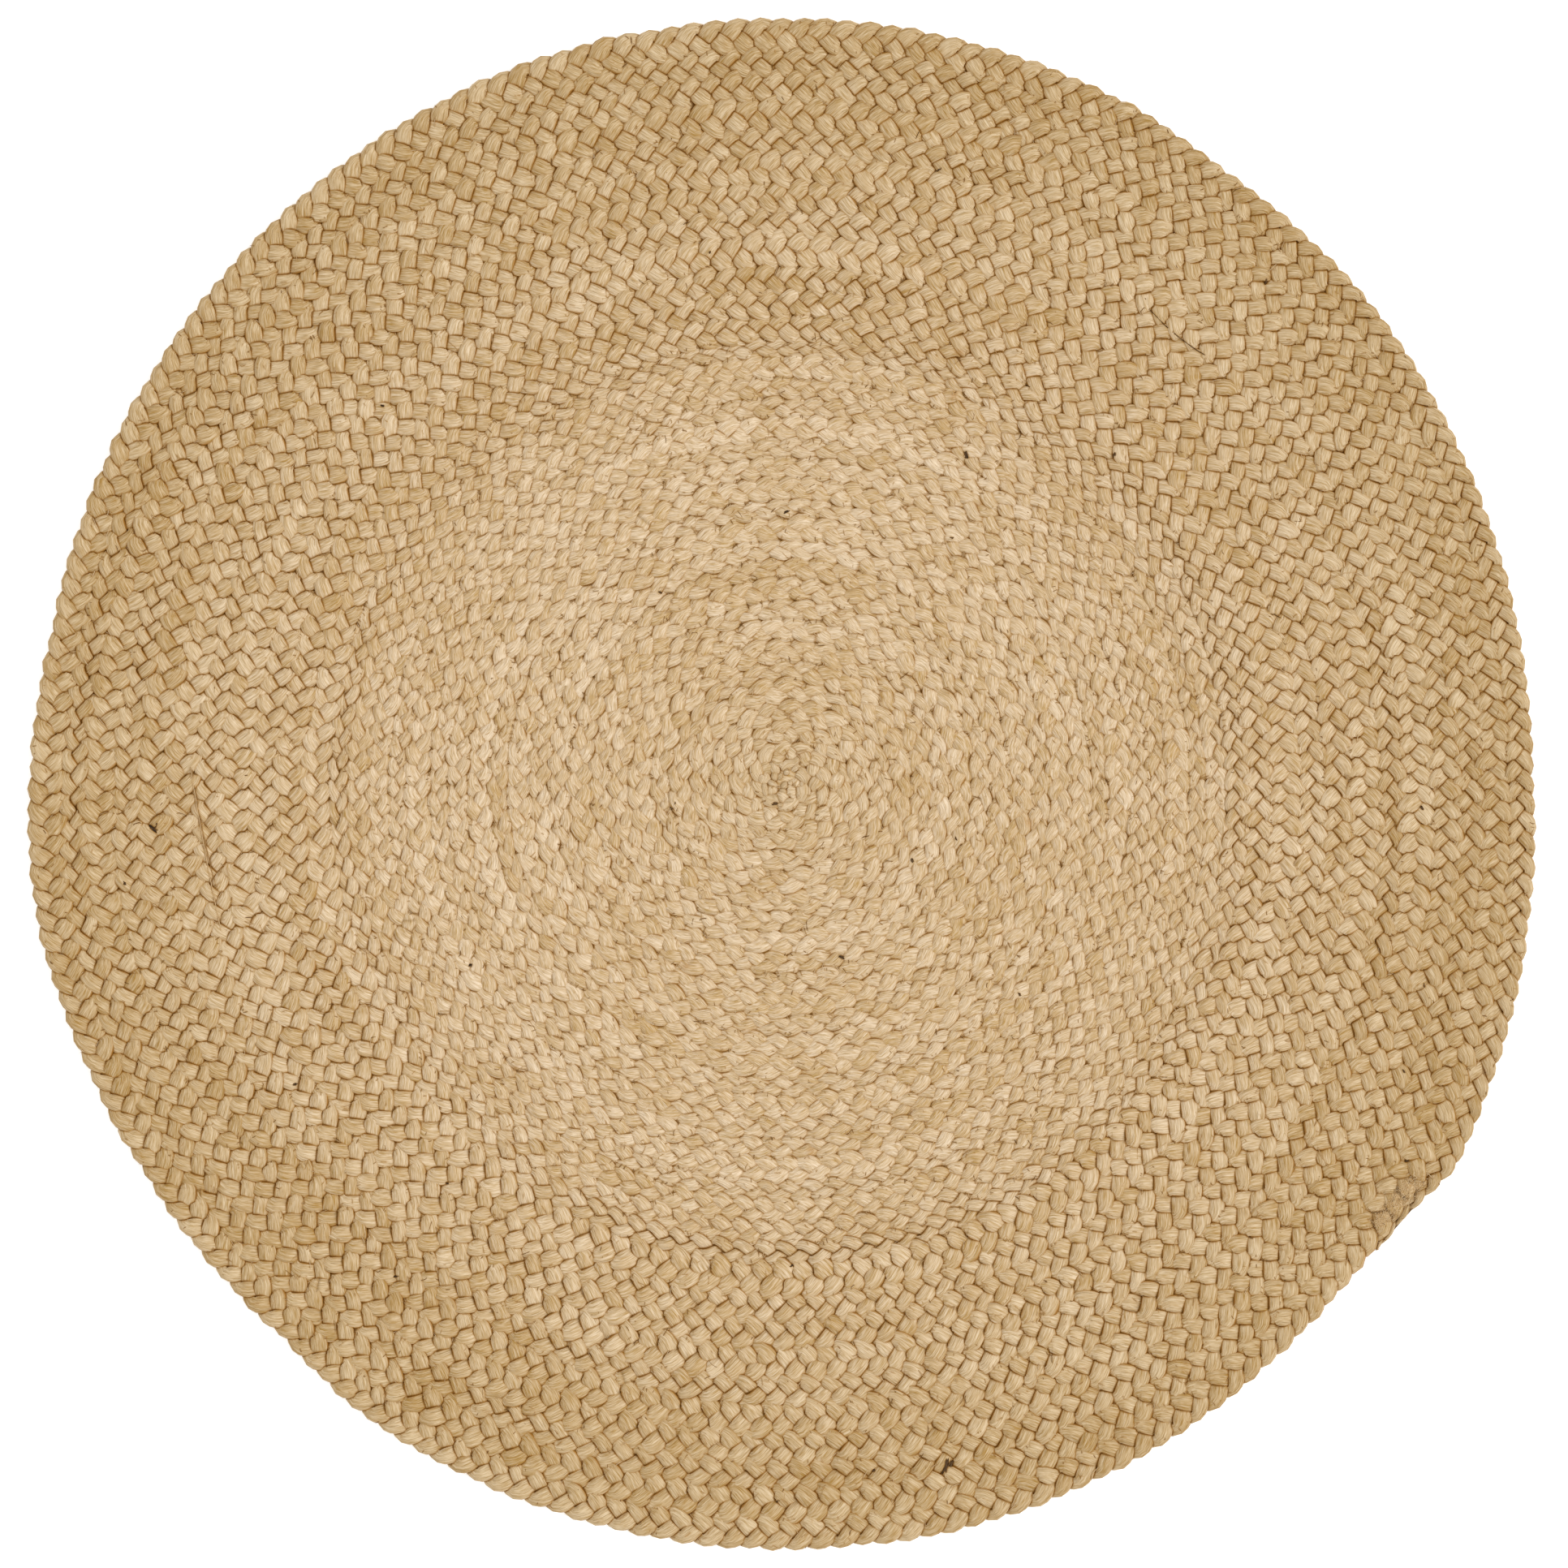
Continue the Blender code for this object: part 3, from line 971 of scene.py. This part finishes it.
def jute_colour(tree, fine, broad, split, outwards):
    """Golden and pale streaks, with ochre stains and dark splits."""
    golden = mix_colour(tree, outwards, *GOLDEN)
    pale = mix_colour(tree, outwards, *PALE)
    tone = total(
        tree,
        USUAL_PALE,
        times(tree, attribute(tree, "lobe"), LOBE_PALE),
        times(tree, attribute(tree, "patch"), PATCH_PALE),
        ramp(tree, broad, *NOISE_RANGE, *BROAD_PALE),
        ramp(tree, fine, *NOISE_RANGE, *FINE_PALE),
    )
    colour = mix_colour(tree, tone, golden, pale)
    colour = mix_colour(tree, times(tree, attribute(tree, "stain"), OCHRE_SHARE), colour, OCHRE)
    return mix_colour(tree, split, colour, SPLIT)


def painted_crease_shade(tree, colour, outwards):
    """The colour with painted shade on the flanks and in the hollows, fainter in the inner rows and in the
    tail's matted end.
    """
    strength = ramp(tree, outwards, 0.0, 1.0, *CREASE_SHADE_STRENGTH)
    strength = times(tree, strength, ramp(tree, attribute(tree, "matted"), 0.0, 1.0, *MATTED_SHADE_STRENGTH))
    # painted shade along the flanks where strands meet and dive under each other
    painted_flank_shade = ramp(tree, attribute(tree, "painted_flank_shade"), *FLANK_SHADE_RAMP)
    colour = mix_colour(tree, times(tree, painted_flank_shade, strength), colour, FLANK_SHADE_COLOUR)
    # painted shade in the hollows and deepest in them, from the occlusion node
    occlusion = node(tree, "ShaderNodeAmbientOcclusion", samples=OPEN_SAMPLES)
    occlusion.inputs["Distance"].default_value = OPEN_DISTANCE
    hollow_shade = ramp(tree, occlusion.outputs["AO"], *HOLLOW_SHADE_RAMP)
    colour = mix_colour(tree, times(tree, hollow_shade, strength), colour, HOLLOW_SHADE)
    depth_shade = ramp(tree, occlusion.outputs["AO"], *DEPTH_SHADE_RAMP)
    return mix_colour(tree, times(tree, depth_shade, strength), colour, DEPTH_SHADE)


def jute_material():
    material, tree, shader = new_material("jute_strands")
    fine = streaks(tree, *FINE_STREAKS)
    broad = streaks(tree, *BROAD_STREAKS)
    split = ramp(tree, streaks(tree, *SPLIT_STREAKS), *SPLIT_RAMP)
    outwards = attribute(tree, "outwards")
    colour = jute_colour(tree, fine, broad, split, outwards)
    tree.links.new(painted_crease_shade(tree, colour, outwards), shader.inputs["Base Color"])
    tree.links.new(ramp(tree, fine, *NOISE_RANGE, *JUTE_ROUGHNESS), shader.inputs["Roughness"])
    shader.inputs["Specular IOR Level"].default_value = JUTE_SPECULAR

    bump = node(tree, "ShaderNodeBump")
    bump.inputs["Strength"].default_value = BUMP_STRENGTH
    bump.inputs["Distance"].default_value = BUMP_DISTANCE
    relief = total(tree, fine, broad, times(tree, split, SPLIT_RELIEF))
    tree.links.new(relief, bump.inputs["Height"])
    tree.links.new(bump.outputs[0], shader.inputs["Normal"])
    return material


def fibre_material():
    material, tree, shader = new_material("jute_fibre")
    grain = grains(tree, FIBRE_GRAIN)
    shade = total(tree, attribute(tree, "shade"), ramp(tree, grain, *NOISE_RANGE, *FIBRE_GRAIN_SHADE))
    colour = FIBRE_COLOURS[0]
    for low, high, brighter in zip(FIBRE_SHADES, FIBRE_SHADES[1:], FIBRE_COLOURS[1:]):
        colour = mix_colour(tree, ramp(tree, shade, low, high), colour, brighter)
    tree.links.new(colour, shader.inputs["Base Color"])
    tree.links.new(ramp(tree, grain, *NOISE_RANGE, *FIBRE_ROUGHNESS), shader.inputs["Roughness"])
    shader.inputs["Specular IOR Level"].default_value = FIBRE_SPECULAR
    return material


def core_shade_material():
    # the core's dark colour is painted shade in the gaps where strands meet
    material, tree, shader = new_material("core_painted_shade")
    outwards = attribute(tree, "outwards")
    dark = mix_colour(tree, outwards, *CORE_SHADE_DARK)
    light = mix_colour(tree, outwards, *CORE_SHADE_LIGHT)
    colour = mix_colour(tree, grains(tree, CORE_GRAIN), dark, light)
    tree.links.new(colour, shader.inputs["Base Color"])
    shader.inputs["Roughness"].default_value = CORE_ROUGHNESS
    return material


def floor_material():
    material, _, shader = new_material("studio_floor")
    shader.inputs["Base Color"].default_value = FLOOR_COLOUR
    shader.inputs["Roughness"].default_value = FLOOR_ROUGHNESS
    shader.inputs["Emission Color"].default_value = WHITE
    shader.inputs["Emission Strength"].default_value = FLOOR_GLOW
    return material


def studio_floor():
    signs = ((-1, -1), (1, -1), (1, 1), (-1, 1))
    corners = [(x * FLOOR_REACH, y * FLOOR_REACH, FLOOR_LEVEL) for x, y in signs]
    mesh = bpy.data.meshes.new("floor")
    mesh.from_pydata(corners, [], [(0, 1, 2, 3)])
    mesh.materials.append(floor_material())
    floor = bpy.data.objects.new("floor", mesh)
    bpy.context.scene.collection.objects.link(floor)


def lights():
    scene = bpy.context.scene
    scene.view_settings.view_transform = "Standard"
    world = bpy.data.worlds.new("studio")
    scene.world = world
    world.use_nodes = True
    background = world.node_tree.nodes["Background"]
    background.inputs["Color"].default_value = WHITE
    background.inputs["Strength"].default_value = WORLD_STRENGTH

    light = bpy.data.lights.new("window", "SUN")
    light.angle = SUN_SPREAD
    light.energy = SUN_STRENGTH
    sun = bpy.data.objects.new("window", light)
    scene.collection.objects.link(sun)
    sun.rotation_euler = Vector(SUN_DIRECTION).to_track_quat("-Z", "Y").to_euler()


def camera():
    data = bpy.data.cameras.new("camera")
    data.sensor_width = CAMERA_SENSOR
    data.lens = CAMERA_SENSOR * CAMERA_DISTANCE / VIEW_WIDTH
    data.clip_end = CAMERA_REACH
    obj = bpy.data.objects.new("camera", data)
    bpy.context.scene.collection.objects.link(obj)
    obj.location = (*CAMERA_SHIFT, CAMERA_DISTANCE + RUG_TOP)
    bpy.context.scene.camera = obj


def main():
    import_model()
    coil = Coil()
    strands = [Strand(coil, number) for number in range(STRANDS)]
    jute = jute_material()
    pieces = braid_pieces(strands, jute)
    others = [core_piece(coil, core_shade_material()), start_knot(jute)]
    others += fibre_pieces(coil, Surface(strands), fibre_material())
    for piece in [*pieces, *others]:
        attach(piece, "root")
        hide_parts("braided_coil")
    studio_floor()
    lights()
    camera()


main()
